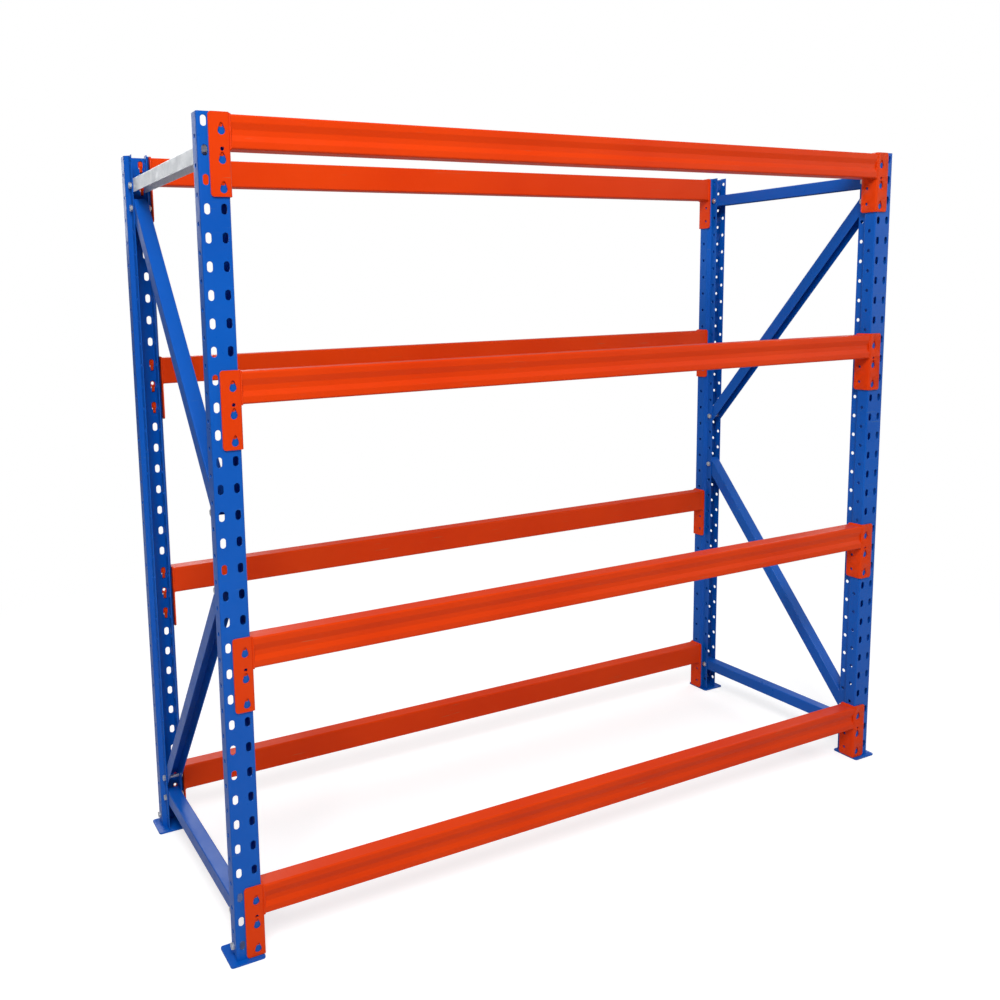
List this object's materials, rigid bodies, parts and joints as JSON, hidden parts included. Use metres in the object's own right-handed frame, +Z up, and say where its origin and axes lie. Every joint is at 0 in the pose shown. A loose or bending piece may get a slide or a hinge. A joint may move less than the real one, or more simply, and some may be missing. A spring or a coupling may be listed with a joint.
{
  "type": "tyre storage rack",
  "caption": "Boltless tyre storage rack: pairs of hook-on beams at several levels between two braced end frames of slotted uprights.",
  "frame": {"origin": "on the floor, under the middle of the rack", "axes": "+X along the rack to the right seen from the front, +Y from the front to the rear, +Z up"},
  "size_m": [1.83, 0.624, 1.6],
  "materials": {
    "blue_paint": "semi-gloss blue powder coat",
    "orange_paint": "semi-gloss orange-red powder coat",
    "zinc": "bright zinc plating",
    "zinc_channel": "galvanised steel"
  },
  "bodies": {
    "frames": {"upright_front_left": "blue_paint", "foot_front_left": "blue_paint", "foot_bolt_front_left": "zinc", "upright_front_right": "blue_paint", "foot_front_right": "blue_paint", "foot_bolt_front_right": "zinc", "upright_rear_left": "blue_paint", "foot_rear_left": "blue_paint", "foot_bolt_rear_left": "zinc", "upright_rear_right": "blue_paint", "foot_rear_right": "blue_paint", "foot_bolt_rear_right": "zinc", "brace_top_left": "zinc_channel", "diagonal_upper_left": "blue_paint", "diagonal_lower_left": "blue_paint", "brace_bottom_left": "blue_paint", "bolt_left_1": "zinc", "bolt_left_2": "zinc", "bolt_left_3": "zinc", "bolt_left_4": "zinc", "bolt_left_5": "zinc", "bolt_left_6": "zinc", "bolt_left_7": "zinc", "bolt_left_8": "zinc", "brace_top_right": "blue_paint", "diagonal_upper_right": "blue_paint", "diagonal_lower_right": "blue_paint", "brace_bottom_right": "blue_paint", "bolt_right_1": "zinc", "bolt_right_2": "zinc", "bolt_right_3": "zinc", "bolt_right_4": "zinc", "bolt_right_5": "zinc", "bolt_right_6": "zinc", "bolt_right_7": "zinc", "bolt_right_8": "zinc"},
    "beam_front_1_set": {"beam_front_1": "orange_paint", "connector_front_1_left": "orange_paint", "connector_front_1_right": "orange_paint"},
    "beam_front_2_set": {"beam_front_2": "orange_paint", "connector_front_2_left": "orange_paint", "connector_front_2_right": "orange_paint"},
    "beam_front_3_set": {"beam_front_3": "orange_paint", "connector_front_3_left": "orange_paint", "connector_front_3_right": "orange_paint"},
    "beam_front_4_set": {"beam_front_4": "orange_paint", "connector_front_4_left": "orange_paint", "connector_front_4_right": "orange_paint"},
    "beam_rear_1_set": {"beam_rear_1": "orange_paint", "connector_rear_1_left": "orange_paint", "connector_rear_1_right": "orange_paint"},
    "beam_rear_2_set": {"beam_rear_2": "orange_paint", "connector_rear_2_left": "orange_paint", "connector_rear_2_right": "orange_paint"},
    "beam_rear_3_set": {"beam_rear_3": "orange_paint", "connector_rear_3_left": "orange_paint", "connector_rear_3_right": "orange_paint"},
    "beam_rear_4_set": {"beam_rear_4": "orange_paint", "connector_rear_4_left": "orange_paint", "connector_rear_4_right": "orange_paint"}
  },
  "joints": [
    {"name": "beam_front_1_lift", "type": "slide", "parent": "frames", "child": "beam_front_1_set", "axis": [0, 0, 1], "range_m": [0, 0.009]},
    {"name": "beam_front_2_lift", "type": "slide", "parent": "frames", "child": "beam_front_2_set", "axis": [0, 0, 1], "range_m": [0, 0.009]},
    {"name": "beam_front_3_lift", "type": "slide", "parent": "frames", "child": "beam_front_3_set", "axis": [0, 0, 1], "range_m": [0, 0.009]},
    {"name": "beam_front_4_lift", "type": "slide", "parent": "frames", "child": "beam_front_4_set", "axis": [0, 0, 1], "range_m": [0, 0.009]},
    {"name": "beam_rear_1_lift", "type": "slide", "parent": "frames", "child": "beam_rear_1_set", "axis": [0, 0, 1], "range_m": [0, 0.009]},
    {"name": "beam_rear_2_lift", "type": "slide", "parent": "frames", "child": "beam_rear_2_set", "axis": [0, 0, 1], "range_m": [0, 0.009]},
    {"name": "beam_rear_3_lift", "type": "slide", "parent": "frames", "child": "beam_rear_3_set", "axis": [0, 0, 1], "range_m": [0, 0.009]},
    {"name": "beam_rear_4_lift", "type": "slide", "parent": "frames", "child": "beam_rear_4_set", "axis": [0, 0, 1], "range_m": [0, 0.009]}
  ]
}
